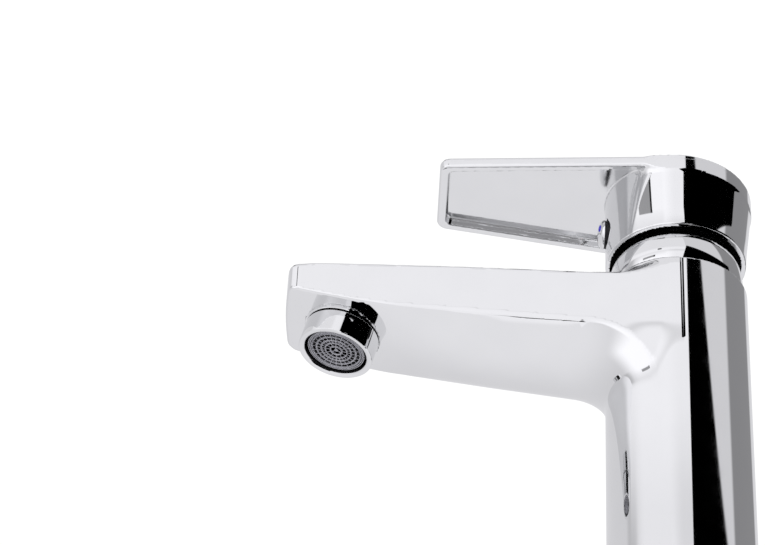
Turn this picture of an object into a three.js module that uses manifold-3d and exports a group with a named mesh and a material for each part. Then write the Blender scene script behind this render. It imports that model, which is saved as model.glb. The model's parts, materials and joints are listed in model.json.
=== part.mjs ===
// Single-lever basin mixer: a cast body with a tilted aerator, a ceramic-disc cartridge and a fixing set.
// Millimetres, +Z up. The origin is on the deck, on the axis of the body; the spout points along -Y.
import * as THREE from 'three';
import { mergeVertices } from 'three/addons/utils/BufferGeometryUtils.js';
import { ParametricGeometry } from 'three/addons/geometries/ParametricGeometry.js';
import Module from 'manifold-3d';

const wasm = await Module();
wasm.setup();

// ---------------------------------------------------------------- driving dimensions
const degree = Math.PI / 180;
const gap = 0.3; // between pieces that touch
const clearance = 0.4; // round a piece that slides or drops in
const sides = { large: 36, medium: 24, small: 16 };
const past = 5; // how far a cutter runs past the face that it opens

const column = { radius: 24.5, top: 125, wall: 4, rim: 5, hollowTop: 72 };
const spout = {
  tipY: -133.5,
  tipBulge: 1,
  tipHalfWidth: 17.4,
  cornerRadius: 3.5,
  rootY: -1.2,
  rootHalfWidth: 24.4,
  tipTop: 120.3,
  topDrop: 2.2,
  creaseRoot: 97.3,
  creaseSlope: 0.08,
  creaseLift: 0.0193,
  creaseLiftStart: -97,
  bellyDepth: 8,
  bellyStart: -125,
  bellyFull: -60,
};
const fillet = { startY: -40, footZ: 74, creaseY: -35, creaseZ: 72, creaseRadius: 25.3 };
const flare = { reach: 11 };

const outlet = { y: -116.8, z: 95, tilt: 13.46, radius: 13, height: 9.1, neckTop: 15 };
const outletLip = { width: 1.6, thickness: 1, chamfer: 0.3, bore: 10.6 };
const insert = { radius: 10.3, low: 2.5, shoulder: 12, neckRadius: 8.4, high: 14, bore: 7, floor: 5 };
const nozzle = { radius: 5.2, high: 3.6 };
const outletGasket = { inner: 8.6, outer: 11.8 };
const grille = { radius: 10.3, low: 1.2, high: 2.2, hubRadius: 1.4, holeWidth: 1.1 };
const grilleHoles = [{ radius: 4.2, count: 10 }, { radius: 6.4, count: 16 }, { radius: 8.6, count: 22 }];
const socket = { radius: 12.3, depth: 17.5, pocketRadius: 9, pocketTop: 20.5 };
const boss = { radius: 13.5, shoulder: 11.1, rootRadius: 14.4, root: 13.1, top: 16 };

const port = { x: 9, y: 1, radius: 3.8, padRadius: 6.5, padHeight: 2.5 };
const outletHoleY = -8.5;
const stud = { y: 14, radius: 4, bottom: -58, top: 24, bossRadius: 7, bossBottom: 8, holeTop: 28 };
const channel = { startZ: 94.5, endY: -112, endZ: 112.8, halfWidth: 9, halfHeight: 4.5 };

const cartridge = { floor: 99.7, radius: 17.5, shoulder: 117, neckRadius: 16.6, boreRadius: 14.9 };
const housingLip = { inner: 12.5, top: 136 };
const pivotZ = 130;
const pin = { radius: 1.6, halfLength: 12 };
const dome = { radius: 23.2, wall: 1.3, openingRadius: 14.5 };
const baseGroove = { inner: 21.2, outer: 23, depth: 2 };
const baseGasket = { inner: 21.5, outer: 22.7, low: 0.1, high: 1.7 };

const handle = {
  skirtZ: 139.4,
  radius: 24.35,
  innerRadius: 22.74,
  backRadius: 27.2,
  plateZ: 163.85,
  plateTilt: 2,
  thickness: 4.36,
  tipY: -83.6,
  tipHalfWidth: 17,
  rootHalfWidth: 27.45,
  cornerRadius: 3.5,
  rim: 3,
  recessDepth: 3.03,
  recessBackY: -12,
  cavityShoulder: 145,
  cavityTopRadius: 14,
  cavityTop: 153.2,
};
const lean = { bottomY: -17, topY: -14.5 };
const baseCover = 0.7; // what is left of the plate above the base's own top
const stem = { halfWidth: 3.5, bottom: 125.5, top: 162 };
const plug = { z: 153.2, radius: 5.3, seat: 21.7, shoulder: 24.6, crown: 27 };
const dot = { x: 3.2, radius: 1.2, seat: 25.1, low: 25.4, high: 26.1, sides: 16 };
const grub = { radius: 2.5, length: 11, tilt: 12.5, reach: 20.4, socketRadius: 1.4, socketDepth: 2.5 };
const clamp = { top: -30, radius: 27, slotHalfWidth: 10.5, slotEnd: 2, slotCorner: 3, rubber: 3, steel: 3 };
const nut = { height: 9, cornerRadius: 7.5 };

// ---------------------------------------------------------------- shape helpers
function smoothstep(t) {
  const s = Math.min(Math.max(t, 0), 1);
  return s * s * (3 - 2 * s);
}

function facesOut(positions, triangles) {
  const at = (i) => new THREE.Vector3().fromArray(positions, 3 * i);
  let volume = 0;
  for (let i = 0; i < triangles.length; i += 3) {
    const [a, b, c] = [at(triangles[i]), at(triangles[i + 1]), at(triangles[i + 2])];
    volume += a.dot(b.cross(c));
  }
  return volume > 0;
}

function solid(geometry) {
  const bare = geometry.clone();
  bare.deleteAttribute('normal');
  bare.deleteAttribute('uv');
  const merged = mergeVertices(bare, 1e-3);
  const positions = Float32Array.from(merged.attributes.position.array);
  const index = merged.index.array;
  const triangles = [];
  for (let i = 0; i < index.length; i += 3) {
    const [a, b, c] = [index[i], index[i + 1], index[i + 2]];
    if (a !== b && b !== c && c !== a) triangles.push(a, b, c);
  }
  if (!facesOut(positions, triangles)) triangles.reverse();
  const triVerts = Uint32Array.from(triangles);
  return new wasm.Manifold(new wasm.Mesh({ numProp: 3, vertProperties: positions, triVerts }));
}

function geometryOf(body) {
  const mesh = body.getMesh();
  const geometry = new THREE.BufferGeometry();
  geometry.setAttribute('position', new THREE.BufferAttribute(mesh.vertProperties, 3));
  geometry.setIndex(new THREE.BufferAttribute(mesh.triVerts, 1));
  geometry.computeVertexNormals();
  return geometry;
}

// A profile of [radius, height] points turned about the Z axis; it closes on itself or on the axis.
function turned(profile, segments = sides.large) {
  const points = profile.map(([radius, height]) => new THREE.Vector2(radius, height));
  if (profile[0][0] > 0) points.push(points[0].clone());
  return new THREE.LatheGeometry(points, segments).rotateX(Math.PI / 2);
}

function disc(radius, low, high, segments = sides.large) {
  return turned([[0, low], [radius, low], [radius, high], [0, high]], segments);
}

function ring(inner, outer, low, high, segments = sides.large) {
  return turned([[inner, low], [outer, low], [outer, high], [inner, high]], segments);
}

function block(halfX, lowY, highY, low, high) {
  const box = new THREE.BoxGeometry(2 * halfX, highY - lowY, high - low);
  return box.translate(0, (lowY + highY) / 2, (low + high) / 2);
}

function prism(shape, low, high) {
  const options = { depth: high - low, bevelEnabled: false, curveSegments: 12 };
  return new THREE.ExtrudeGeometry(shape, options).translate(0, 0, low);
}

function rod(radius, halfLength, z, segments = sides.small) {
  const cylinder = new THREE.CylinderGeometry(radius, radius, 2 * halfLength, segments);
  return cylinder.rotateZ(Math.PI / 2).translate(0, 0, z);
}

function arc(radius, centreZ, fromAngle, toAngle, steps) {
  const points = [];
  for (let i = 0; i <= steps; i += 1) {
    const angle = fromAngle + ((toAngle - fromAngle) * i) / steps;
    points.push([radius * Math.sin(angle), centreZ + radius * Math.cos(angle)]);
  }
  return points;
}

function cut(base, ...cutters) {
  return cutters.reduce((body, cutter) => body.subtract(solid(cutter)), base);
}

function joined(...geometries) {
  return geometries.map(solid).reduce((whole, body) => whole.add(body));
}

// ---------------------------------------------------------------- materials and meshes
const finishes = {
  chrome: [0xe6e8ea, 0.06, 1],
  brass: [0xb99a56, 0.35, 1],
  steel: [0xa9adb1, 0.35, 1],
  zincPlate: [0xc4c7c9, 0.4, 1],
  acetal: [0xe9e6dc, 0.5, 0],
  greyPlastic: [0x73787e, 0.5, 0],
  blackPlastic: [0x1a1a1c, 0.5, 0],
  rubber: [0x1c1c1d, 0.85, 0],
  ceramic: [0xf2efe8, 0.25, 0],
  red: [0xc3202b, 0.3, 0],
  blue: [0x2346b4, 0.3, 0],
};

function piece(name, geometry, finish) {
  const [color, roughness, metalness] = finishes[finish];
  const shape = geometry.isBufferGeometry ? geometryOf(solid(geometry)) : geometryOf(geometry);
  const mesh = new THREE.Mesh(shape, new THREE.MeshStandardMaterial({ color, roughness, metalness }));
  mesh.name = name;
  return mesh;
}

// ---------------------------------------------------------------- the body casting
function halfWidthAt(y) {
  const share = (y - spout.tipY) / (spout.rootY - spout.tipY);
  return spout.tipHalfWidth + (spout.rootHalfWidth - spout.tipHalfWidth) * share;
}

function topAt(x, y) {
  const flareEnd = -column.radius - flare.reach;
  const run = Math.min((y - spout.tipY) / (flareEnd - spout.tipY), 1);
  const line = spout.tipTop - spout.topDrop * run * run;
  const share = (Math.hypot(x, y) - column.radius) / flare.reach;
  if (share >= 1) return line;
  const rise = 1 - Math.sqrt(1 - (1 - Math.max(share, 0)) ** 2);
  return line + (column.top - line) * rise;
}

function creaseAt(y) {
  if (y > fillet.creaseY) {
    const run = Math.min(y - fillet.creaseY, fillet.creaseRadius);
    return fillet.creaseZ + Math.sqrt(fillet.creaseRadius ** 2 - run ** 2);
  }
  const lift = Math.max(0, spout.creaseLiftStart - y) ** 1.5;
  return spout.creaseRoot + spout.creaseSlope * (fillet.creaseY - y) + spout.creaseLift * lift;
}

function bellyAt(y) {
  const straight = Math.min(y, fillet.startY);
  const growth = (straight - spout.bellyStart) / (spout.bellyFull - spout.bellyStart);
  const keel = creaseAt(straight) - spout.bellyDepth * smoothstep(growth);
  if (y <= fillet.startY) return keel;
  const share = Math.min((y - fillet.startY) / (-column.radius - fillet.startY), 1);
  return fillet.footZ + (keel - fillet.footZ) * Math.sqrt(1 - share ** 2);
}

// One station of the spout: its place along Y and how far the rounded front corner pulls the sides in.
function spoutStations() {
  const stations = [];
  const cornerSteps = 4;
  const straightSteps = 12;
  const filletSteps = 7;
  const rootSteps = 4;
  for (let i = 0; i < cornerSteps; i += 1) {
    const angle = (90 * degree * i) / cornerSteps;
    const y = spout.tipY + spout.cornerRadius * (1 - Math.cos(angle));
    stations.push({ y, inset: spout.cornerRadius * (1 - Math.sin(angle)) });
  }
  const straightStart = spout.tipY + spout.cornerRadius;
  for (let i = 0; i < straightSteps; i += 1) {
    const run = i / straightSteps;
    stations.push({ y: straightStart + (fillet.startY - straightStart) * run, inset: 0 });
  }
  for (let i = 0; i < filletSteps; i += 1) {
    const run = Math.sin((90 * degree * i) / filletSteps);
    stations.push({ y: fillet.startY + (-column.radius - fillet.startY) * run, inset: 0 });
  }
  for (let i = 0; i <= rootSteps; i += 1) {
    stations.push({ y: -column.radius + ((spout.rootY + column.radius) * i) / rootSteps, inset: 0 });
  }
  return stations;
}

function spoutShell() {
  const stations = spoutStations();
  const bellySteps = 10;
  const topSteps = 8;
  const around = bellySteps + topSteps + 2;
  const middle = (spout.tipTop + creaseAt(spout.tipY)) / 2;

  const surface = (u, v, target) => {
    const row = Math.round(v * (stations.length + 1));
    if (row === 0) return target.set(0, spout.tipY - spout.tipBulge, middle);
    if (row > stations.length) return target.set(0, spout.rootY, middle);
    const { y, inset } = stations[row - 1];
    const half = halfWidthAt(y) - inset;
    const place = Math.round(u * around) % around;
    if (place > bellySteps) {
      const x = half * (1 - (2 * (place - bellySteps - 1)) / topSteps);
      return target.set(x, y, topAt(x, y));
    }
    const crease = creaseAt(y);
    const depth = Math.max(crease - bellyAt(y), 0.05);
    const bend = 2 * Math.atan(depth / half);
    const turn = bend * ((2 * place) / bellySteps - 1);
    const sag = (Math.cos(turn) - Math.cos(bend)) / (1 - Math.cos(bend));
    return target.set((half * Math.sin(turn)) / Math.sin(bend), y, crease - depth * sag);
  };
  return new ParametricGeometry(surface, around, stations.length + 1);
}

function inOutletFrame(geometry) {
  return geometry.rotateX(-outlet.tilt * degree).translate(0, outlet.y, outlet.z);
}

function outletBoss() {
  const { radius, shoulder, rootRadius, root, top } = boss;
  const low = outlet.height;
  const rim = [[0, low], [radius, low], [radius, shoulder]];
  return inOutletFrame(turned([...rim, [rootRadius, root], [rootRadius, top], [0, top]]));
}

function aeratorSocket() {
  const { radius, depth, pocketRadius, pocketTop } = socket;
  const screwed = [[0, outlet.height - past], [radius, outlet.height - past], [radius, depth]];
  const pocket = [[pocketRadius, depth], [pocketRadius, pocketTop], [0, pocketTop]];
  return inOutletFrame(turned([...screwed, ...pocket]));
}

function waterChannel() {
  const run = new THREE.Vector3(0, channel.endY - outletHoleY, channel.endZ - channel.startZ);
  const bore = new THREE.CylinderGeometry(1, 1, run.length(), sides.small);
  bore.scale(channel.halfWidth, 1, channel.halfHeight);
  bore.rotateX(Math.atan2(run.z, run.y));
  return bore.translate(0, outletHoleY + run.y / 2, channel.startZ + run.z / 2);
}

function cartridgeChamber() {
  const { floor, radius, shoulder } = cartridge;
  const snug = radius + gap;
  const wide = column.radius - column.rim;
  const high = column.top + past;
  return turned([[0, floor], [snug, floor], [snug, shoulder], [wide, shoulder], [wide, high], [0, high]]);
}

// What stays solid inside the column: the boss for the stud and a pad round each inlet.
function columnHollow() {
  const high = column.hollowTop + past;
  const studBoss = disc(stud.bossRadius, stud.bossBottom, high, sides.medium).translate(0, stud.y, 0);
  const pads = [-port.x, port.x].map((x) =>
    disc(port.padRadius, column.hollowTop - port.padHeight, high, sides.medium).translate(x, port.y, 0),
  );
  return cut(solid(disc(column.radius - column.wall, -past, column.hollowTop)), studBoss, ...pads);
}

function bodyCasting() {
  const chamberFloor = cartridge.floor + 1;
  const inlets = [-port.x, port.x].map((x) =>
    disc(port.radius, column.hollowTop - past, chamberFloor, sides.small).translate(x, port.y, 0),
  );
  const outer = joined(disc(column.radius, 0, column.top, 2 * sides.medium), spoutShell(), outletBoss());
  return cut(
    outer.subtract(columnHollow()),
    cartridgeChamber(),
    aeratorSocket(),
    waterChannel(),
    disc(port.radius, channel.startZ, chamberFloor, sides.small).translate(0, outletHoleY, 0),
    disc(stud.radius + gap, stud.bossBottom - past, stud.holeTop, sides.small).translate(0, stud.y, 0),
    ring(baseGroove.inner, baseGroove.outer, -past, baseGroove.depth),
    ...inlets,
  );
}

// ---------------------------------------------------------------- the aerator, in the outlet's own frame
function aeratorHousing() {
  const { radius, height, neckTop } = outlet;
  const { width, thickness, chamfer, bore } = outletLip;
  const high = height - gap;
  const neck = socket.radius - clearance;
  const rim = [[radius - width, 0], [radius - chamfer, 0], [radius, chamfer], [radius, high]];
  return turned([...rim, [neck, high], [neck, neckTop], [bore, neckTop], [bore, thickness]]);
}

// A stepped tube: the flow part that hangs from the lip under the gasket.
function aeratorInsert() {
  const { radius, low, shoulder, neckRadius, high, bore, floor } = insert;
  const outside = [[radius, low], [radius, shoulder], [neckRadius, shoulder], [neckRadius, high]];
  const inside = [[bore, high], [bore, floor], [nozzle.radius, nozzle.high], [nozzle.radius, low]];
  return turned([...outside, ...inside], sides.medium);
}

function aeratorGrille() {
  const { radius, low, high, hubRadius, holeWidth } = grille;
  const holes = grilleHoles.flatMap((row) =>
    Array.from({ length: row.count }, (_, i) =>
      new THREE.BoxGeometry(holeWidth, holeWidth, past)
        .translate(row.radius, 0, low)
        .rotateZ((2 * Math.PI * i) / row.count),
    ),
  );
  return cut(solid(disc(radius, low, high)), disc(hubRadius, 0, past, 12), ...holes);
}

function aeratorPieces() {
  const { inner, outer } = outletGasket;
  const gasket = ring(inner, outer, outlet.neckTop + gap, socket.depth - gap, sides.medium);
  const group = new THREE.Group();
  group.position.set(0, outlet.y, outlet.z);
  group.rotation.x = -outlet.tilt * degree;
  group.add(
    piece('aerator_housing', aeratorHousing(), 'chrome'),
    piece('aerator_insert', aeratorInsert(), 'blackPlastic'),
    piece('aerator_grille', aeratorGrille(), 'greyPlastic'),
    piece('aerator_gasket', gasket, 'rubber'),
  );
  return group;
}

// ---------------------------------------------------------------- the ceramic-disc cartridge
const base = { low: cartridge.floor + gap, high: 104.5, holeRadius: 3, seatRadius: 4.6, seatDepth: 1.7 };
const seal = { inner: 3.3, outer: 4.3 };
const fixedDisc = { low: base.high + gap, high: 108, radius: 14.2, holeRadius: 2.8 };
const movingDisc = { low: fixedDisc.high + gap, high: 111.5, radius: 9 };
const mixingHollow = { radius: 5.5, depth: 1.6 };
const carrier = { low: movingDisc.high + gap, high: 118.5, halfWidth: 8, pocketHalf: 4, pocketFloor: 113 };
const collar = { low: 119, high: 134.2, radius: cartridge.boreRadius - clearance, windowHalf: 9.6 };
const rail = { inner: carrier.halfWidth + clearance, outer: 13, halfLength: 6, low: 112, high: 120 };
const ball = { radius: 3.6, drop: 13, armRadius: 2.6 };
const cartridgeNutSize = { outer: 19.2, high: 129, notchWidth: 5, notchDepth: 3 };
const passagePlaces = [[-port.x, port.y], [port.x, port.y], [0, outletHoleY]];

function drilled(geometry, low, high, radius) {
  const holes = passagePlaces.map(([x, y]) => disc(radius, low, high, sides.small).translate(x, y, 0));
  return cut(solid(geometry), ...holes);
}

function cartridgeBase() {
  const { low, high, holeRadius, seatRadius, seatDepth } = base;
  const plate = drilled(disc(cartridge.radius, low, high), low - past, high + past, holeRadius);
  const seats = passagePlaces.map(([x, y]) =>
    disc(seatRadius, low - past, low + seatDepth, sides.small).translate(x, y, 0),
  );
  return cut(plate, ...seats);
}

function seals() {
  const names = ['inlet_seal_left', 'inlet_seal_right', 'outlet_seal'];
  return passagePlaces.map(([x, y], i) => {
    const shape = ring(seal.inner, seal.outer, base.low, base.low + base.seatDepth - gap, sides.small);
    return piece(names[i], shape.translate(x, y, 0), 'rubber');
  });
}

function cartridgeHousing() {
  const { radius, shoulder, neckRadius, boreRadius } = cartridge;
  const { inner, top } = housingLip;
  const low = fixedDisc.low;
  const lipLow = collar.high + gap;
  const outside = [[radius, low], [radius, shoulder], [neckRadius, shoulder], [neckRadius, top]];
  const inside = [[inner, top], [inner, lipLow], [boreRadius, lipLow], [boreRadius, low]];
  return turned([...outside, ...inside]);
}

function fixedCeramicDisc() {
  const { low, high, radius, holeRadius } = fixedDisc;
  return drilled(disc(radius, low, high), low - past, high + past, holeRadius);
}

function movingCeramicDisc() {
  const { low, high, radius } = movingDisc;
  const hollow = disc(mixingHollow.radius, low - past, low + mixingHollow.depth, sides.medium);
  return cut(solid(disc(radius, low, high)), hollow);
}

function discCarrier() {
  const { low, high, halfWidth, pocketHalf, pocketFloor } = carrier;
  const reach = 2 * movingDisc.radius;
  const flats = solid(block(halfWidth, -reach, reach, low - past, high + past));
  const pocket = block(pocketHalf, -pocketHalf, pocketHalf, pocketFloor, high + past);
  return cut(solid(disc(movingDisc.radius, low, high)).intersect(flats), pocket);
}

function swivelCollar() {
  const halfRail = (rail.outer - rail.inner) / 2;
  const rails = [-1, 1].map((side) => {
    const bar = block(halfRail, -rail.halfLength, rail.halfLength, rail.low, rail.high);
    return bar.translate(side * (rail.inner + halfRail), 0, 0);
  });
  const { low, high, radius, windowHalf } = collar;
  const window = block(stem.halfWidth + clearance, -windowHalf, windowHalf, low - past, high + past);
  const pinHole = rod(pin.radius + gap, pin.halfLength + gap, pivotZ);
  return cut(joined(disc(radius, low, high), ...rails), window, pinHole);
}

function spindle() {
  const ballZ = pivotZ - ball.drop;
  const tip = new THREE.SphereGeometry(ball.radius, sides.small, 12).rotateX(Math.PI / 2);
  const arm = disc(ball.armRadius, ballZ, pivotZ, sides.small);
  const shank = block(stem.halfWidth, -stem.halfWidth, stem.halfWidth, stem.bottom, stem.top);
  const pinHole = rod(pin.radius + gap, 2 * stem.halfWidth, pivotZ);
  return cut(joined(tip.translate(0, 0, ballZ), arm, shank), pinHole);
}

function cartridgeNut() {
  const { outer, high, notchWidth, notchDepth } = cartridgeNutSize;
  const body = ring(cartridge.neckRadius + gap, outer, cartridge.shoulder + gap, high);
  const notches = [0, 45, 90, 135].map((angle) =>
    new THREE.BoxGeometry(2 * outer + past, notchWidth, 2 * notchDepth)
      .translate(0, 0, high)
      .rotateZ(angle * degree),
  );
  return cut(solid(body), ...notches);
}

function domeCap() {
  const low = column.top + gap;
  const inner = dome.radius - dome.wall;
  const foot = Math.acos((low - pivotZ) / dome.radius);
  const innerFoot = Math.acos((low - pivotZ) / inner);
  const mouth = Math.asin(dome.openingRadius / dome.radius);
  const innerMouth = Math.asin(dome.openingRadius / inner);
  const outside = arc(dome.radius, pivotZ, foot, mouth, 7);
  return turned([...outside, ...arc(inner, pivotZ, innerMouth, innerFoot, 4)]);
}

function cartridgePieces() {
  return [
    piece('cartridge_base', cartridgeBase(), 'acetal'),
    ...seals(),
    piece('cartridge_housing', cartridgeHousing(), 'acetal'),
    piece('fixed_ceramic_disc', fixedCeramicDisc(), 'ceramic'),
    piece('moving_ceramic_disc', movingCeramicDisc(), 'ceramic'),
    piece('disc_carrier', discCarrier(), 'acetal'),
    piece('swivel_collar', swivelCollar(), 'acetal'),
    piece('spindle', spindle(), 'steel'),
    piece('spindle_pin', rod(pin.radius, pin.halfLength, pivotZ), 'steel'),
    piece('cartridge_nut', cartridgeNut(), 'brass'),
    piece('dome_cap', domeCap(), 'chrome'),
  ];
}

// ---------------------------------------------------------------- the handle
function leverOutline(inset) {
  const slope = (handle.rootHalfWidth - handle.tipHalfWidth) / handle.tipY;
  const tipY = handle.tipY + inset;
  const tip = handle.tipHalfWidth - inset;
  const root = handle.rootHalfWidth - inset;
  const round = handle.cornerRadius;
  const outline = new THREE.Shape();
  outline.moveTo(root, 0);
  outline.lineTo(tip - slope * round, tipY + round);
  outline.quadraticCurveTo(tip, tipY, tip - round, tipY);
  outline.lineTo(round - tip, tipY);
  outline.quadraticCurveTo(-tip, tipY, slope * round - tip, tipY + round);
  outline.lineTo(-root, 0);
  outline.absarc(0, 0, root, Math.PI, 0, true);
  return outline;
}

function onPlatePlane(geometry) {
  return geometry.rotateX(-handle.plateTilt * degree).translate(0, 0, handle.plateZ);
}

// The plate's underside is sunk inside its rim, in front of the base.
function leverPlate() {
  const plate = solid(onPlatePlane(prism(leverOutline(0), 0, handle.thickness)));
  const recess = solid(onPlatePlane(prism(leverOutline(handle.rim), -past, handle.recessDepth)));
  const high = 2 * handle.plateZ;
  const front = block(2 * handle.backRadius, 2 * handle.tipY, handle.recessBackY, 0, high);
  const outsideBase = cut(solid(front), disc(handle.radius, 0, high, 2 * sides.medium));
  return plate.subtract(recess.intersect(outsideBase));
}

// The base's pieces end inside the plate, above its recess.
function underPlateTop(geometry) {
  const reach = 2 * handle.backRadius;
  const slab = block(reach, -reach, reach, -handle.plateZ, handle.thickness - baseCover);
  return solid(geometry).intersect(solid(onPlatePlane(slab)));
}

// The sides and back of the base lean out to the plate; a slanted plane ends the lean towards the front.
function flaredBack() {
  const { skirtZ, radius, backRadius, plateZ, thickness } = handle;
  const top = plateZ + 2 * thickness;
  const cone = turned([[0, skirtZ], [radius, skirtZ], [backRadius, plateZ], [backRadius, top], [0, top]]);
  const reach = 1.5 * backRadius;
  const edge = new THREE.Shape();
  edge.moveTo(lean.bottomY, skirtZ - past);
  edge.lineTo(lean.bottomY, skirtZ);
  edge.lineTo(lean.topY, plateZ);
  edge.lineTo(lean.topY, top + past);
  edge.lineTo(reach, top + past);
  edge.lineTo(reach, skirtZ - past);
  edge.closePath();
  const behind = prism(edge, -reach, reach).rotateX(Math.PI / 2).rotateZ(Math.PI / 2);
  return underPlateTop(cone).intersect(solid(behind));
}

function handleCavity() {
  const { skirtZ, innerRadius, cavityShoulder, cavityTopRadius, cavityTop } = handle;
  const wide = [[0, skirtZ - past], [innerRadius, skirtZ - past], [innerRadius, cavityShoulder]];
  return turned([...wide, [cavityTopRadius, cavityTop], [0, cavityTop]]);
}

function handleCasting() {
  const { radius, skirtZ, plateZ, thickness } = handle;
  const skirt = underPlateTop(disc(radius, skirtZ, plateZ + 2 * thickness, 2 * sides.medium));
  const half = stem.halfWidth + gap;
  const plugSeat = disc(plug.radius + clearance, plug.seat - gap, handle.backRadius + past, sides.medium);
  const screwHole = disc(grub.radius + gap, -grub.reach, 0, sides.small);
  return cut(
    leverPlate().add(skirt).add(flaredBack()),
    handleCavity(),
    block(half, -half, half, handle.cavityTop - past, stem.top + clearance),
    plugSeat.rotateX(90 * degree).translate(0, 0, plug.z),
    screwHole.rotateX((90 + grub.tilt) * degree).translate(0, -handle.radius, plug.z),
  );
}

function indexPlug() {
  const rise = plug.crown - plug.shoulder;
  const curve = (plug.radius ** 2 + rise ** 2) / (2 * rise);
  const crown = arc(curve, plug.crown - curve, Math.asin(plug.radius / curve), 0, 6);
  const button = solid(turned([[0, plug.seat], [plug.radius, plug.seat], ...crown], sides.medium));
  const seats = [-1, 1].map((side) =>
    disc(dot.radius + gap, dot.seat, plug.crown + past, dot.sides).translate(side * dot.x, 0, 0),
  );
  return cut(button, ...seats);
}

function grubScrew() {
  const top = grub.length - grub.reach;
  const shank = solid(disc(grub.radius, -grub.reach, top, sides.small));
  return cut(shank, disc(grub.socketRadius, top - grub.socketDepth, 0, 6));
}

function handlePieces() {
  const facing = new THREE.Group();
  facing.position.set(0, 0, plug.z);
  facing.rotation.x = 90 * degree;
  const dots = [-1, 1].map((side) => {
    const shape = disc(dot.radius, dot.low, dot.high, dot.sides).translate(side * dot.x, 0, 0);
    return side > 0 ? piece('blue_dot', shape, 'blue') : piece('red_dot', shape, 'red');
  });
  facing.add(piece('index_plug', indexPlug(), 'chrome'), ...dots);

  const slanted = new THREE.Group();
  slanted.position.set(0, -handle.radius, plug.z);
  slanted.rotation.x = (90 + grub.tilt) * degree;
  slanted.add(piece('grub_screw', grubScrew(), 'steel'));
  return [piece('handle', handleCasting(), 'chrome'), facing, slanted];
}

// ---------------------------------------------------------------- the deck fixing set
function horseshoe(low, high) {
  const { radius, slotHalfWidth, slotEnd, slotCorner } = clamp;
  const shape = new THREE.Shape();
  const mouth = Math.asin(slotHalfWidth / radius);
  shape.absarc(0, 0, radius, mouth - Math.PI / 2, 1.5 * Math.PI - mouth, false);
  shape.lineTo(-slotHalfWidth, slotEnd);
  shape.lineTo(slotCorner - slotHalfWidth, slotEnd + slotCorner);
  shape.lineTo(slotHalfWidth - slotCorner, slotEnd + slotCorner);
  shape.lineTo(slotHalfWidth, slotEnd);
  shape.closePath();
  const studHole = disc(stud.radius + clearance, low - past, high + past, sides.small);
  return cut(solid(prism(shape, low, high)), studHole.translate(0, stud.y, 0));
}

function mountingNut(high) {
  const low = high - nut.height;
  const hole = disc(stud.radius + gap, low - past, high + past, sides.small);
  return cut(solid(disc(nut.cornerRadius, low, high, 6)), hole);
}

function fixingPieces() {
  const rubberBottom = clamp.top - clamp.rubber;
  const steelTop = rubberBottom - gap;
  const steelBottom = steelTop - clamp.steel;
  const onStud = new THREE.Group();
  onStud.position.y = stud.y;
  onStud.add(
    piece('mounting_stud', disc(stud.radius, stud.bottom, stud.top, sides.small), 'zincPlate'),
    piece('mounting_nut', mountingNut(steelBottom - gap), 'brass'),
  );
  const gasket = ring(baseGasket.inner, baseGasket.outer, baseGasket.low, baseGasket.high);
  return [
    piece('base_gasket', gasket, 'rubber'),
    piece('rubber_washer', horseshoe(rubberBottom, clamp.top), 'rubber'),
    piece('clamp_plate', horseshoe(steelBottom, steelTop), 'zincPlate'),
    onStud,
  ];
}

// ---------------------------------------------------------------- the whole mixer
const mixer = new THREE.Group();
mixer.add(piece('body_casting', bodyCasting(), 'chrome'), aeratorPieces(), ...cartridgePieces());
mixer.add(...handlePieces(), ...fixingPieces());

export default mixer;
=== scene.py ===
"""The looks of the basin mixer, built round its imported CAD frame.

Lengths are in millimetres and heights are above the deck. A mesh is turned into metres when it is made.
"""
import json
import math
from collections import namedtuple

import bpy
import numpy as np
from mathutils import Matrix, Vector


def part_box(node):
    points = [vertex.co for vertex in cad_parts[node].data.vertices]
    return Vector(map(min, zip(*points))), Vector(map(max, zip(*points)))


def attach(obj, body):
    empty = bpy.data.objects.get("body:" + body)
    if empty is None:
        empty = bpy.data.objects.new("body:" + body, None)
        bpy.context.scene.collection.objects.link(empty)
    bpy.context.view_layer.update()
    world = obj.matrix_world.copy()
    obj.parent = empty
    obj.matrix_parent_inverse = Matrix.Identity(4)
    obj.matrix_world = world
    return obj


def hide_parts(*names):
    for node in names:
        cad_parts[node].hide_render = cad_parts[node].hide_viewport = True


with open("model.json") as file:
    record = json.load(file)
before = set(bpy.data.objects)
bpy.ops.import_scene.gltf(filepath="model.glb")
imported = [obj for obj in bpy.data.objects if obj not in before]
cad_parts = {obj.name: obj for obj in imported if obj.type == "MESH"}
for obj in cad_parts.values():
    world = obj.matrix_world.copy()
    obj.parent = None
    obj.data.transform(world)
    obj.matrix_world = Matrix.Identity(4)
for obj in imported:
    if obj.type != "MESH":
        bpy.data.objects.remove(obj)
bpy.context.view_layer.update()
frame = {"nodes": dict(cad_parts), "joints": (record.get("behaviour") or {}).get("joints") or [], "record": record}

MM = 0.001


# ---------------------------------------------------------------- places, from the frame
def box_mm(node):
    low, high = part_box(node)
    return np.array(low) / MM, np.array(high) / MM


def mount_named(name):
    return next(m for m in frame["record"]["mounts"] if m["name"] == name)


def joint_named(name):
    return next(j for j in frame["joints"] if j["name"] == name)


body_low, body_high = box_mm("body_casting")
handle_low, handle_high = box_mm("handle")
plug_low, plug_high = box_mm("index_plug")
stud_low, stud_high = box_mm("mounting_stud")
nut_low, nut_high = box_mm("mounting_nut")
outlet = mount_named("aerator_outlet")

OUTLET_CENTRE = np.array([0, outlet["pos_m"][1], outlet["pos_m"][2]]) / MM
OUTLET_TILT = math.atan2(-outlet["axis"][1], -outlet["axis"][2])
PIVOT_Z = joint_named("handle_lift")["pos_m"][2] / MM
PLUG_Z = (plug_low[2] + plug_high[2]) / 2
STUD_Y = round((stud_low[1] + stud_high[1]) / 2, 3)

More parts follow.
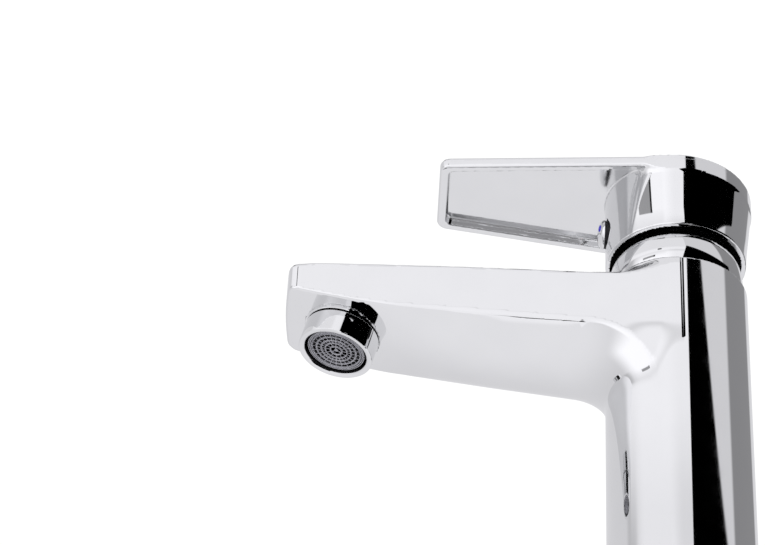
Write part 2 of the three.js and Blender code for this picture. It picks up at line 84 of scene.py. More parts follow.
# ---------------------------------------------------------------- driving sizes
# the column, and what is hollow in it; the cuts start below its foot and end above its top
COLUMN_RADIUS = body_high[0]
COLUMN_TOP = body_high[2]
COLUMN_EDGE = 0.7
COLUMN_WALL = 4
END_EDGE = 0.5
HOLLOW_EDGE = 0.3
HOLLOW_TOP = 72
BELOW_FOOT = -10
STUD_BOSS_RADIUS = 7
STUD_BOSS_BOTTOM = 8
STUD_BOSS_FILLET = 0.8
STUD_HOLE_RADIUS = 4.4
STUD_HOLE_TOP = 28
PORT_X = 9
PORT_Y = 1
PORT_RADIUS = 3.8
PORT_ENDS = (60, 101)
PORT_PAD_RADIUS = 6.5
PORT_PAD_BOTTOM = 69.5
PORT_PAD_FILLET = 0.5
GROOVE_INSET = 2.4
GROOVE_HALF = 0.9
GROOVE_DEPTH = 2
CHAMBER_RADIUS = 17.8
CHAMBER_FLOOR = 99.7
MOUTH_RADIUS = 19.5
MOUTH_FLOOR = 117
ABOVE_COLUMN = 140

# the spout, from its tip to its root in the column
TIP_Y = body_low[1]
TIP_BULGE = 1.0
TIP_HALF = 17.4
TIP_CORNER = 3.5
TIP_TOP = 120.3
TIP_TOP_EDGE = 1.7
TIP_EDGE_FADE = 0.9
TIP_EDGE_RUN = (4, 10)
SPOUT_EDGE = 0.8
SPOUT_FILLET = 0.8
ROOT_Y = -1.2
ROOT_HALF = 24.4
ROOT_PINCH = 1.5
PINCH_HEIGHTS = (76, 98)
PINCH_RUN = (-26, -10)
SPREAD_HEIGHTS = (74, 98)
TOP_DROP = 2.2
TOP_DROP_END = -COLUMN_RADIUS - 11
COLLAR_FLARE = 8.0

# the crease along the spout's flank, the keel under it and the bend down into the column
CREASE_ROOT = 97.3
CREASE_CENTRE = (-35.0, 72.0)
CREASE_RADIUS = 25.3
CREASE_SLOPE = 0.08
CREASE_LIFT_START = -97
CREASE_LIFT = 0.0193
KEEL_START = -40.0
KEEL_DEPTH = 8.0
KEEL_LEAST_DEPTH = 0.05
BELLY_START, BELLY_FULL = -125.0, -60.0

# the aerator
HOUSING_RADIUS = 13.0
HOUSING_HEIGHT = 8.8
HOUSING_BORE = 10.95
BOSS_RADIUS = 13.5
BOSS_INSET = 0.4
BOSS_ROOT = 18
BOSS_CUT_EDGE = 0.2
SEAM = 9.25
GRILLE_RIDGES = (2.05, 3.85, 5.3, 7.0, 8.65, 9.35, 9.85)
# the grooves near the grille's rim that are painted near-black as shade
GRILLE_SHADE_GROOVES = ((8.85, 9.2), (9.45, 9.7))
GRILLE_HUB = 1.7
GRILLE_RELIEF = 0.5

# the dome under the lever
DOME_RADIUS = box_mm("dome_cap")[1][0]
DOME_MOUTH = 14.5
DOME_WALL = 1.2
DOME_FOOT = COLUMN_TOP + 0.3

# the lever: a round skirt, a back that widens upwards, and a plate with a recess in its underside
SKIRT_Z = handle_low[2]
SKIRT_RADIUS = 24.35
SKIRT_INNER = 22.74
SKIRT_EDGE = 0.4
SKIRT_ROOT = 0.6
SKIRT_ROOT_EDGE = 0.1
LEVER_TIP_Y = handle_low[1]
LEVER_BACK = 27.2
BACK_FRONT_Y = -17
BACK_FRONT_LEAN = 2.5
BACK_EDGE = 0.6
BACK_EDGE_GAIN = 5
BACK_FILLET = 0.8
LEVER_TAPER = math.atan(0.125)
LEVER_CORNER = 3.5
LEVER_RIM = 3.0
PLATE_Z = 163.85
PLATE_SLOPE = math.radians(2)
PLATE_THICKNESS = 4.36
PLATE_TOP_EDGE = 1.3
PLATE_LOWER_EDGE = 0.9
PLATE_FILLET = 0.4
PLATE_FILLET_GAIN = 2.4
PLATE_FILLET_RUN = (-18, -14)
RECESS_DEPTH = 3.03
RECESS_DRAFT = 0.12
RECESS_CORNER = 2.2
RECESS_EDGE = 0.4
RECESS_CEILING_EDGE = 0.7
RECESS_BACK_Y = -12
RECESS_BACK_EDGE = 3

# the hollows in the lever: for the cartridge, the spindle and the index plug
CAVITY_EDGE = 0.2
CAVITY_SHOULDER = 145
CAVITY_TAPER = 8.2
CAVITY_END_RADIUS = 14
SOCKET_HALF = 3.8
SOCKET_TOP = 162.5
PLUG_SEAT_RADIUS = 5.7
PLUG_SEAT_Y = -21.4
PLUG_SEAT_EDGE = 0.25

# the index button
BUTTON_RADIUS = 5.3
BUTTON_SHOULDER = 24.9
BUTTON_RISE = 2.3


# ---------------------------------------------------------------- distance fields
def ramp(value, start, end):
    """Rises smoothly from 0 at the start to 1 at the end."""
    share = np.clip((value - start) / (end - start), 0, 1)
    return share * share * (3 - 2 * share)


def common(a, b, radius):
    """The overlap of two solids, its edge rounded to a radius."""
    corner = np.hypot(np.maximum(a + radius, 0), np.maximum(b + radius, 0))
    return np.minimum(np.maximum(a, b), -radius) + corner


def joined(a, b, radius):
    """Two solids together, with a fillet of a radius between them."""
    corner = np.hypot(np.maximum(radius - a, 0), np.maximum(radius - b, 0))
    return np.maximum(np.minimum(a, b), radius) - corner


def without(a, b, radius):
    """The first solid with the second cut out, the edge of the cut rounded to a radius."""
    return common(a, -b, radius)


def upright(x, y, radius, centre_y=0.0, centre_x=0.0):
    """A round post along Z, without ends."""
    return np.hypot(x - centre_x, y - centre_y) - radius


def post(x, y, z, radius, low, high, centre_y=0.0, centre_x=0.0):
    """A round post along Z between two heights."""
    return np.maximum(upright(x, y, radius, centre_y, centre_x), np.maximum(low - z, z - high))


def outlet_frame(x, y, z):
    """Distance from the outlet's axis, and height above the outlet's face along it."""
    dy, dz = y - OUTLET_CENTRE[1], z - OUTLET_CENTRE[2]
    across = dy * math.cos(OUTLET_TILT) - dz * math.sin(OUTLET_TILT)
    along = dy * math.sin(OUTLET_TILT) + dz * math.cos(OUTLET_TILT)
    return np.hypot(x, across), along


# ---------------------------------------------------------------- the body casting
def spout_half(y, z):
    """Half the spout's width, which grows towards the root and is pinched a little low down there."""
    line = TIP_HALF + (ROOT_HALF - TIP_HALF) * (y - TIP_Y) / (ROOT_Y - TIP_Y)
    low_down = 1 - ramp(z, *PINCH_HEIGHTS)
    near_root = ramp(y, *PINCH_RUN)
    return line - ROOT_PINCH * low_down * near_root


def top_line(y):
    """The height of the spout's top, which falls from the tip to the flare."""
    run = np.clip((y - TIP_Y) / (TOP_DROP_END - TIP_Y), 0, 1)
    return TIP_TOP - TOP_DROP * run * run


def above_top(x, y, z):
    """Height above the spout's top, with a concave flare up to the collar."""
    line = top_line(y)
    inward = COLUMN_RADIUS + COLLAR_FLARE - np.hypot(x, y)
    below = line + COLLAR_FLARE - z
    flare = COLLAR_FLARE - np.hypot(np.maximum(inward, 0), np.maximum(below, 0))
    return np.where(inward <= 0, z - line, np.where(below <= 0, COLLAR_FLARE - inward, flare))


def crease_line(y):
    """The height of the crease along the spout's flank, which curls up at the tip."""
    lift = np.maximum(CREASE_LIFT_START - y, 0) ** 1.5
    return CREASE_ROOT + CREASE_SLOPE * (CREASE_CENTRE[0] - y) + CREASE_LIFT * lift


def keel_line(y):
    """The height of the lowest line under the spout."""
    return crease_line(y) - KEEL_DEPTH * ramp(y, BELLY_START, BELLY_FULL)


def round_the_bend(y, z, line, centre, radius):
    """How far a point is outside a line that runs under the spout, round a bend and down the column."""
    dy, dz = y - centre[0], z - centre[1]
    bend = radius - np.hypot(np.maximum(dy, 0), np.maximum(dz, 0))
    under_spout = line(np.minimum(y, centre[0])) - z
    before_column = radius - dy
    corner = np.minimum(under_spout, before_column)
    straight = np.where(dz > 0, under_spout, np.where(dy > 0, before_column, corner))
    return np.where((dy > 0) & (dz > 0), bend, straight)


def below_spout(x, y, z):
    """Depth below the spout's underside, which is an arc across from crease to crease over the keel."""
    keel_radius = -COLUMN_RADIUS - KEEL_START
    keel_centre = (KEEL_START, float(keel_line(KEEL_START)) - keel_radius)
    keel = round_the_bend(y, z, keel_line, keel_centre, keel_radius)
    crease = round_the_bend(y, z, crease_line, CREASE_CENTRE, CREASE_RADIUS)
    column_half = math.sqrt(COLUMN_RADIUS ** 2 - (CREASE_CENTRE[0] + CREASE_RADIUS) ** 2)
    half = column_half + (spout_half(y, z) - column_half) * ramp(z, *SPREAD_HEIGHTS)
    depth = np.maximum(crease - keel, KEEL_LEAST_DEPTH)
    bend = 2 * np.arctan(depth / half)
    share = np.minimum(np.abs(x) / half, 1)
    turned = np.sqrt(1 - (share * np.sin(bend)) ** 2)
    rise = 1 - (turned - np.cos(bend)) / (1 - np.cos(bend))
    slope = depth * share * np.sin(bend) ** 2 / (half * turned * (1 - np.cos(bend)))
    return (keel + depth * rise) / np.hypot(1, slope)


def spout_field(x, y, z):
    side = np.abs(x) - spout_half(y, z)
    front = TIP_Y + TIP_BULGE * (x / TIP_HALF) ** 2 - y
    plan = common(side, front, TIP_CORNER)
    top_edge = TIP_TOP_EDGE - TIP_EDGE_FADE * ramp(y - TIP_Y, *TIP_EDGE_RUN)
    spout = common(plan, above_top(x, y, z), top_edge)
    spout = common(spout, below_spout(x, y, z), SPOUT_EDGE)
    spout = np.maximum(spout, y - ROOT_Y)
    radial, height = outlet_frame(x, y, z)
    boss = np.maximum(radial - BOSS_RADIUS + BOSS_INSET, height - BOSS_ROOT)
    return without(spout, boss, BOSS_CUT_EDGE)


def column_hollow(x, y, z):
    """The hollow that opens at the foot, round a boss for the stud and a pad for each port."""
    hollow = post(x, y, z, COLUMN_RADIUS - COLUMN_WALL, BELOW_FOOT, HOLLOW_TOP)
    stud_boss = np.maximum(upright(x, y, STUD_BOSS_RADIUS, STUD_Y), STUD_BOSS_BOTTOM - z)
    pads = np.maximum(upright(np.abs(x), y, PORT_PAD_RADIUS, PORT_Y, PORT_X), PORT_PAD_BOTTOM - z)
    return without(without(hollow, stud_boss, STUD_BOSS_FILLET), pads, PORT_PAD_FILLET)


def base_groove(x, y, z):
    """The ring-shaped groove in the foot, for the seal."""
    from_middle = np.abs(np.hypot(x, y) - (COLUMN_RADIUS - GROOVE_INSET))
    return np.maximum(from_middle - GROOVE_HALF, z - GROOVE_DEPTH)


def cartridge_chamber(x, y, z):
    """The bore for the cartridge, and the wider mouth above it for the nut."""
    bore = post(x, y, z, CHAMBER_RADIUS, CHAMBER_FLOOR, ABOVE_COLUMN)
    return np.minimum(bore, post(x, y, z, MOUTH_RADIUS, MOUTH_FLOOR, ABOVE_COLUMN))


def body_field(x, y, z):
    column = common(upright(x, y, COLUMN_RADIUS), z - COLUMN_TOP, COLUMN_EDGE)
    whole = joined(column, spout_field(x, y, z), SPOUT_FILLET)
    whole = common(whole, np.maximum(z - COLUMN_TOP, -z), END_EDGE)
    ports = post(np.abs(x), y, z, PORT_RADIUS, *PORT_ENDS, PORT_Y, PORT_X)
    stud_hole = post(x, y, z, STUD_HOLE_RADIUS, BELOW_FOOT, STUD_HOLE_TOP, STUD_Y)
    seal_groove, chamber = base_groove(x, y, z), cartridge_chamber(x, y, z)
    for cavity in (column_hollow(x, y, z), ports, stud_hole, seal_groove, chamber):
        whole = without(whole, cavity, HOLLOW_EDGE)
    return whole


# ---------------------------------------------------------------- the lever's casting
def above_plate(y, z):
    """Height above the plate's underside, square to its slope."""
    return (z - PLATE_Z) * math.cos(PLATE_SLOPE) + y * math.sin(PLATE_SLOPE)


def lever_outline(x, y):
    """Distance outside the round back with its two straight tangent sides, and outside the tip."""
    ahead = -(y * math.cos(LEVER_TAPER) + np.abs(x) * math.sin(LEVER_TAPER))
    straight = np.abs(x) * math.cos(LEVER_TAPER) - y * math.sin(LEVER_TAPER) - LEVER_BACK
    sides = np.where(ahead > 0, straight, np.hypot(x, y) - LEVER_BACK)
    return sides, LEVER_TIP_Y - y


def lever_plate(outline, sides, tip, y, height):
    """The plate, with the recess that leaves a rim round its underside."""
    plate = common(outline, height - PLATE_THICKNESS, PLATE_TOP_EDGE)
    plate = common(plate, -height, PLATE_LOWER_EDGE)
    draft = RECESS_DRAFT * height
    inset = common(sides + LEVER_RIM + draft, tip + LEVER_RIM + draft, RECESS_CORNER)
    recess = common(inset, height - RECESS_DEPTH, RECESS_CEILING_EDGE)
    recess = common(recess, y - RECESS_BACK_Y, RECESS_BACK_EDGE)
    return without(plate, recess, RECESS_EDGE)


def lever_base(x, y, z, height):
    """The round skirt, joined to a back that widens upwards to the plate's own radius."""
    radial = np.hypot(x, y)
    rise = np.clip((z - SKIRT_Z) / (PLATE_Z - SKIRT_Z), 0, 1)
    above_root = height - RECESS_DEPTH - SKIRT_ROOT
    skirt = common(radial - SKIRT_RADIUS, above_root, SKIRT_ROOT_EDGE)
    flared = radial - SKIRT_RADIUS - (LEVER_BACK - SKIRT_RADIUS) * rise
    front = BACK_FRONT_Y + BACK_FRONT_LEAN * rise - y
    flared = common(flared, front, BACK_EDGE + BACK_EDGE_GAIN * rise ** 2)
    flared = common(flared, above_root, SKIRT_ROOT_EDGE)
    return joined(skirt, flared, BACK_FILLET)


def lever_cavity(x, y, z):
    """The room for the cartridge's top, narrower above its shoulder."""
    above_shoulder = np.maximum(z - CAVITY_SHOULDER, 0)
    narrowing = above_shoulder * (SKIRT_INNER - CAVITY_END_RADIUS) / CAVITY_TAPER
    top = CAVITY_SHOULDER + CAVITY_TAPER
    return np.maximum(np.hypot(x, y) - SKIRT_INNER + narrowing, z - top)


def handle_field(x, y, z):
    height = above_plate(y, z)
    sides, tip = lever_outline(x, y)
    outline = common(sides, tip, LEVER_CORNER)
    plate = lever_plate(outline, sides, tip, y, height)
    fillet = PLATE_FILLET + PLATE_FILLET_GAIN * ramp(y, *PLATE_FILLET_RUN)
    whole = joined(lever_base(x, y, z, height), plate, fillet)
    whole = np.maximum(whole, outline)
    whole = common(whole, SKIRT_Z - z, SKIRT_EDGE)
    socket = np.maximum(np.maximum(np.abs(x), np.abs(y)) - SOCKET_HALF, z - SOCKET_TOP)
    plug_seat = np.maximum(np.hypot(x, z - PLUG_Z) - PLUG_SEAT_RADIUS, y - PLUG_SEAT_Y)
    whole = without(whole, lever_cavity(x, y, z), CAVITY_EDGE)
    whole = without(whole, socket, CAVITY_EDGE)
    return without(whole, plug_seat, PLUG_SEAT_EDGE)


# ---------------------------------------------------------------- meshing a field
def gradient(field, points):
    """The field's slope at each point, by central differences."""
    reach = 0.02
    slopes = []
    for axis in range(3):
        ahead, behind = points.copy(), points.copy()
        ahead[:, axis] += reach
        behind[:, axis] -= reach
        slopes.append((field(*ahead.T) - field(*behind.T)) / (2 * reach))
    return np.stack(slopes, axis=1)


def crossings(values, axis):
    """The grid edges along an axis that the surface crosses: lower ends, how far along, which way."""
    lower = np.take(values, range(values.shape[axis] - 1), axis)
    upper = np.take(values, range(1, values.shape[axis]), axis)
    places = np.argwhere((lower < 0) != (upper < 0))
    a, b = lower[tuple(places.T)], upper[tuple(places.T)]
    return places, a / (a - b), a < 0


def surface_net(values):
    """One point in each cell that the surface passes through, and a quad round each crossed edge."""
    cells = np.array(values.shape) - 1
    total = np.zeros((cells.prod(), 3))
    count = np.zeros(cells.prod())
    quads = []
    for axis in range(3):
        places, along, leaving = crossings(values, axis)
        first, second = (axis + 1) % 3, (axis + 2) % 3
        inner = (places[:, first] > 0) & (places[:, second] > 0)
        inner &= (places[:, first] < cells[first]) & (places[:, second] < cells[second])
        places, along, leaving = places[inner], along[inner], leaving[inner]
        spots = places.astype(float)
        spots[:, axis] += along
        corners = []
        for step_first, step_second in ((0, 0), (1, 0), (1, 1), (0, 1)):
            cell = places.copy()
            cell[:, first] -= step_first
            cell[:, second] -= step_second
            flat = np.ravel_multi_index(tuple(cell.T), tuple(cells))
            corners.append(flat)
            for k in range(3):
                total[:, k] += np.bincount(flat, spots[:, k], len(total))
            count += np.bincount(flat, minlength=len(total))
        quad = np.stack(corners, axis=1)
        quads.append(np.where(leaving[:, None], quad, quad[:, ::-1]))
    used = count > 0
    number = np.cumsum(used) - 1
    return total[used] / count[used][:, None], number[np.concatenate(quads)]


def skin(name, field, low, high, step):
    """A mesh of the surface where the field is zero, its shading normals taken from the field."""
    margin_low, margin_high = 2.2 * step, 3 * step
    corrections, longest_move = 4, 0.4 * step
    flattest, tiny = 0.05, 1e-9
    axes = [np.arange(low[k] - margin_low, high[k] + margin_high, step) for k in range(3)]
    values = field(*np.meshgrid(*axes, indexing="ij"))
    spots, quads = surface_net(values)
    points = np.array([a[0] for a in axes]) + spots * step
    for _ in range(corrections):
        slope = gradient(field, points)
        steep = np.maximum((slope ** 2).sum(axis=1), flattest)
        move = (field(*points.T) / steep)[:, None] * slope
        size = np.maximum(np.linalg.norm(move, axis=1), tiny)
        points -= move * np.minimum(longest_move / size, 1)[:, None]
    slope = gradient(field, points)
    normals = slope / np.maximum(np.linalg.norm(slope, axis=1), tiny)[:, None]
    mesh = bpy.data.meshes.new(name)
    mesh.from_pydata((points * MM).tolist(), [], quads.tolist())
    mesh.polygons.foreach_set("use_smooth", [True] * len(mesh.polygons))
    mesh.normals_split_custom_set_from_vertices(normals.tolist())
    return link(name, mesh)


# ---------------------------------------------------------------- turned and built pieces
def link(name, mesh):
    piece = bpy.data.objects.new(name, mesh)
    bpy.context.scene.collection.objects.link(piece)
    return piece


def mesh_from(name, points, faces, sharp=35):
    """A smooth-shaded mesh with its edges sharp where they turn by more than an angle in degrees."""
    mesh = bpy.data.meshes.new(name)
    mesh.from_pydata((np.asarray(points) * MM).tolist(), [], faces)
    mesh.validate()
    mesh.polygons.foreach_set("use_smooth", [True] * len(mesh.polygons))
    mesh.set_sharp_from_angle(angle=math.radians(sharp))
    return link(name, mesh)


def round_angles(count):
    """Angles at even steps round a circle."""
    return [2 * math.pi * i / count for i in range(count)]


def round_point(radius, angle, height, centre_y=0.0):
    return radius * math.cos(angle), centre_y + radius * math.sin(angle), height


def ring_faces(lower, upper, count):
    """The quads between two rings of points, given the number of each ring's first point."""
    faces = []
    for i in range(count):
        j = (i + 1) % count
        faces.append([lower + i, lower + j, upper + j, upper + i])
    return faces


def turned(name, profile, segments=128):
    """A profile of [radius, height] points, closed on itself or on the axis, turned about Z."""
    on_axis = 1e-6
    rows = []
    points = []
    for radius, height in profile:
        if radius < on_axis:
            rows.append([len(points)] * segments)
            points.append((0, 0, height))
            continue
        rows.append(list(range(len(points), len(points) + segments)))
        points += [round_point(radius, angle, height) for angle in round_angles(segments)]
    faces = []
    for lower, upper in zip(rows, rows[1:] + rows[:1]):
        for i in range(segments):
            j = (i + 1) % segments
            corners = [lower[i], lower[j], upper[j], upper[i]]
            face = list(dict.fromkeys(corners))
            if len(face) > 2:
                faces.append(face)
    return mesh_from(name, points, faces)


def arc(radius, centre_height, start, end, steps):
    """Profile points on an arc about a centre on the axis, its angles measured from straight up."""
    angles = np.linspace(start, end, steps + 1)
    return [(radius * math.sin(a), centre_height + radius * math.cos(a)) for a in angles]


def edges_rounded(piece, width):
    bevel = piece.modifiers.new("edge_round", "BEVEL")
    bevel.width = width * MM
    bevel.segments = 3
    bevel.limit_method = "ANGLE"
    bevel.angle_limit = math.radians(30)
    bevel.harden_normals = True
    return piece


def into_outlet(piece):
    """Moves a piece made round the Z axis into the outlet's own frame."""
    place = Matrix.Translation(Vector(OUTLET_CENTRE * MM)) @ Matrix.Rotation(-OUTLET_TILT, 4, "X")
    piece.data.transform(place)
    return piece


def facing_front(piece, height):
    """Turns a piece made round Z so that it faces along -Y, at a height."""
    turn = Matrix.Rotation(math.radians(90), 4, "X")
    piece.data.transform(Matrix.Translation((0, 0, height * MM)) @ turn)
    return piece


def aerator_housing():
    """A chrome ring with rounded edges, and the neck that goes up from it into the boss."""
    neck, top = 11.9, 15
    lower_edge, upper_edge = 0.3, 0.2
    outside = [
        (HOUSING_RADIUS - lower_edge, 0),
        (HOUSING_RADIUS, lower_edge),
        (HOUSING_RADIUS, HOUSING_HEIGHT - upper_edge),
        (HOUSING_RADIUS - upper_edge, HOUSING_HEIGHT),
        (neck, HOUSING_HEIGHT),
    ]
    inside = [
        (neck, top),
        (HOUSING_BORE, top),
        (HOUSING_BORE, 0.55),
        (HOUSING_BORE + 0.3, 0.2),
        (HOUSING_BORE + 0.75, 0),
    ]
    piece = turned("aerator_housing_skin", outside + inside, 192)
    return into_outlet(edges_rounded(piece, 0.1))


def outlet_boss():
    """The turned ring under the spout that the aerator screws into."""
    bore, top = 12.4, 19
    inner_edge, outer_edge = 0.15, 0.25
    profile = [
        (bore, SEAM + inner_edge),
        (bore + inner_edge, SEAM),
        (BOSS_RADIUS - outer_edge, SEAM),
        (BOSS_RADIUS, SEAM + outer_edge),
        (BOSS_RADIUS, top),
        (bore, top),
    ]
    return into_outlet(turned("outlet_boss", profile, 192))


def grille_rows():
    """The rows of slots in the grille, from the hub outwards."""
    Row = namedtuple("Row", "inner outer slots open_share")
    return [
        Row(0.7, 1.75, 3, 0.85),
        Row(2.35, 3.6, 12, 0.8),
        Row(4.1, 5.1, 24, 0.72),
        Row(5.5, 6.8, 24, 0.8),
        Row(7.2, 8.45, 24, 0.84),
    ]


def grille_relief(radius):
    """How far the grille stands back from its face: the rings are ridges and the hub is a cup."""
    if radius < GRILLE_HUB:
        return GRILLE_RELIEF
    slope_width = 0.3
    ridge_distance = min(abs(radius - ridge) for ridge in GRILLE_RIDGES)
    return GRILLE_RELIEF * min(1.0, ridge_distance / slope_width)


def grille_rings():
    """The radii that the grille is built on, and the slots in the bands that have them."""
    radii = [0.0, 0.4]
    slots = {}
    for row in grille_rows():
        slots[len(radii)] = (row.slots, row.open_share)
        radii += [row.inner, row.outer, row.outer + 0.1, row.outer + 0.2, row.outer + 0.3]
    rim = [8.95, 9.15, 9.3, 9.4, 9.6, 9.75, 9.9]
    return radii + rim, slots


def aerator_grille():
    """A disc of concentric ridges and radial ribs, with rows of slots between them."""
    segments, face_height, hub_depth, thickness = 720, 1.1, 0.6, 0.5
    radii, slots = grille_rings()
    points = [(0, 0, face_height + hub_depth)]
    for radius in radii[1:]:
        height = face_height + grille_relief(radius)
        points += [round_point(radius, angle, height) for angle in round_angles(segments)]
    faces = []
    for band in range(len(radii) - 1):
        count, share = slots.get(band, (0, 0))
        for i in range(segments):
            j = (i + 1) % segments
            if count and (i * count / segments) % 1 < share:
                continue
            outer = [1 + band * segments + j, 1 + band * segments + i]
            if band == 0:
                faces.append([0] + outer)
                continue
            inner = [1 + (band - 1) * segments + i, 1 + (band - 1) * segments + j]
            faces.append(inner + outer)
    piece = mesh_from("aerator_grille_disc", points, faces)
    thick = piece.modifiers.new("thickness", "SOLIDIFY")
    thick.thickness = thickness * MM
    thick.offset = -1
    # Rim faces take the material after their face's, so the slot walls beside the grey faces are near-black:
    # painted shade in the slots.
    thick.material_offset_rim = 1
    return into_outlet(piece)


def dome_skin():
    """A shell between two spheres about the lever's pivot, with a round mouth for the spindle."""
    inner_radius = DOME_RADIUS - DOME_WALL
    foot, inner_foot = (math.acos((DOME_FOOT - PIVOT_Z) / r) for r in (DOME_RADIUS, inner_radius))
    mouth, inner_mouth = (math.asin(DOME_MOUTH / r) for r in (DOME_RADIUS, inner_radius))
    outside = arc(DOME_RADIUS, PIVOT_Z, foot, mouth, 40)
    inside = arc(inner_radius, PIVOT_Z, inner_mouth, inner_foot, 20)
    return turned("dome_skin", outside + inside, 160)


def button_crown(distance):
    """The height of the index button's elliptical crown at a distance from its middle."""
    return BUTTON_SHOULDER + BUTTON_RISE * math.sqrt(max(0.0, 1 - (distance / BUTTON_RADIUS) ** 2))


def plug_button():
    """A domed chrome button on a dark collar."""
    seat, neck, collar_gap, steps = 21.7, BUTTON_RADIUS - 0.35, 0.15, 20
    radii = [BUTTON_RADIUS * math.cos(math.pi / 2 * i / steps) for i in range(steps)]
    dome = [(radius, button_crown(radius)) for radius in radii + [0.0]]
    collar = [(0, seat), (neck, seat), (neck, BUTTON_SHOULDER - collar_gap)]
    piece = turned("index_button", collar + dome, 96)
    return facing_front(piece, PLUG_Z)


def colour_mark(name, side):
    """An oval mark on one side of the button, which follows its crown slightly proud of it."""
    steps = 24
    half_height, half_width, middle = 1.35, 0.95, 3.4
    proud, sunk = 0.06, -0.6
    shares = (0.3, 0.65, 1.0)

    def spot(share, angle, lift):
        x = side * (middle + share * half_width * math.cos(angle))
        z = share * half_height * math.sin(angle)
        return (x, z, button_crown(math.hypot(x, z)) + lift)

    angles = round_angles(steps)
    points = [spot(1.0, angle, sunk) for angle in angles]
    for share in reversed(shares):
        points += [spot(share, angle, proud) for angle in angles]
    points.append(spot(0, 0, proud))
    faces = [list(range(steps))[::-1]]
    for ring in range(len(shares)):
        faces += ring_faces(ring * steps, (ring + 1) * steps, steps)
    top = len(shares) * steps
    faces += [[top + i, top + (i + 1) % steps, top + steps] for i in range(steps)]
    piece = mesh_from(name, points, faces)
    if side < 0:
        piece.data.flip_normals()
    return facing_front(piece, PLUG_Z)


def threaded_stud():
    """A stud with a V-shaped thread and tapered ends."""
    radius, depth, pitch, taper = 4.0, 0.6, 1.25, 0.7
    around, rows_per_turn = 40, 8
    low, high = stud_low[2], stud_high[2]
    rows = int((high - low) / pitch * rows_per_turn)
    points = []
    for r in range(rows + 1):
        height = low + (high - low) * r / rows
        ends = min(1.0, min(height - low, high - height) / pitch)
        for i, angle in enumerate(round_angles(around)):
            wave = abs(((height / pitch - i / around) % 1) * 2 - 1)
            reach = radius - depth * (1 - wave) - taper * (1 - ends)
            points.append(round_point(reach, angle, height, STUD_Y))
    faces = []
    for r in range(rows):
        faces += ring_faces(r * around, (r + 1) * around, around)
    faces.append(list(range(around))[::-1])
    faces.append(list(range(rows * around, (rows + 1) * around)))
    return mesh_from("threaded_stud", points, faces, 60)


def hex_nut():
    """A hexagon nut with chamfers at both ends and a round hole."""
    corner, hole, hole_edge, steps = 7.5, 4.3, 0.5, 96
    low, high = nut_low[2], nut_high[2]
    sixth = math.pi / 3
    flat = corner * math.cos(sixth / 2)
    chamfer = corner - flat + 0.25
    angles = round_angles(steps)
    outline = [flat / math.cos(angle % sixth - sixth / 2) for angle in angles]
    face = [min(reach, flat - 0.1) for reach in outline]
    hole_wall = [hole] * steps
    hole_mouth = [hole + hole_edge] * steps
    loops = [
        (hole_mouth, low),
        (face, low),
        (outline, low + chamfer),
        (outline, high - chamfer),
        (face, high),
        (hole_mouth, high),
        (hole_wall, high - hole_edge),
        (hole_wall, low + hole_edge),
    ]
    points = []
    for reaches, height in loops:
        points += [round_point(reach, angle, height, STUD_Y) for angle, reach in zip(angles, reaches)]
    faces = []
    for k in range(len(loops)):
        after = (k + 1) % len(loops)
        faces += ring_faces(k * steps, after * steps, steps)
    return mesh_from("hex_nut", points, faces, 25)


def horseshoe(name, node, edge):
    """A round washer with a slot open to the front for the hoses, its edges rounded."""
    low, high = box_mm(node)
    slot_half, slot_end, slot_corner, hole_radius, step = 10.5, 2, 4, 4.6, 0.6

    def field(x, y, z):
        disc = np.hypot(x, y) - high[0]
        slot = common(np.abs(x) - slot_half, y - slot_end, slot_corner)
        stud_hole = upright(x, y, hole_radius, STUD_Y)
        outline = without(without(disc, slot, edge), stud_hole, edge / 2)
        return common(outline, np.maximum(z - high[2], low[2] - z), edge)

    return skin(name, field, low, high, step)


def base_seal():
    """The seal under the column: a ring with a rounded lip that stands on the deck."""
    low, high = box_mm("base_gasket")
    outer, width = high[0], 1.2
    inner = outer - width
    lip_in, lip_up = 0.3, 0.35
    profile = [
        (inner, high[2]),
        (inner, low[2] + lip_up),
        (inner + lip_in, low[2]),
        (outer - lip_in, low[2]),
        (outer, low[2] + lip_up),
        (outer, high[2]),
    ]
    return turned("base_seal", profile)


# ---------------------------------------------------------------- materials
RANGE_SOCKETS = ("From Min", "From Max", "To Min", "To Max")


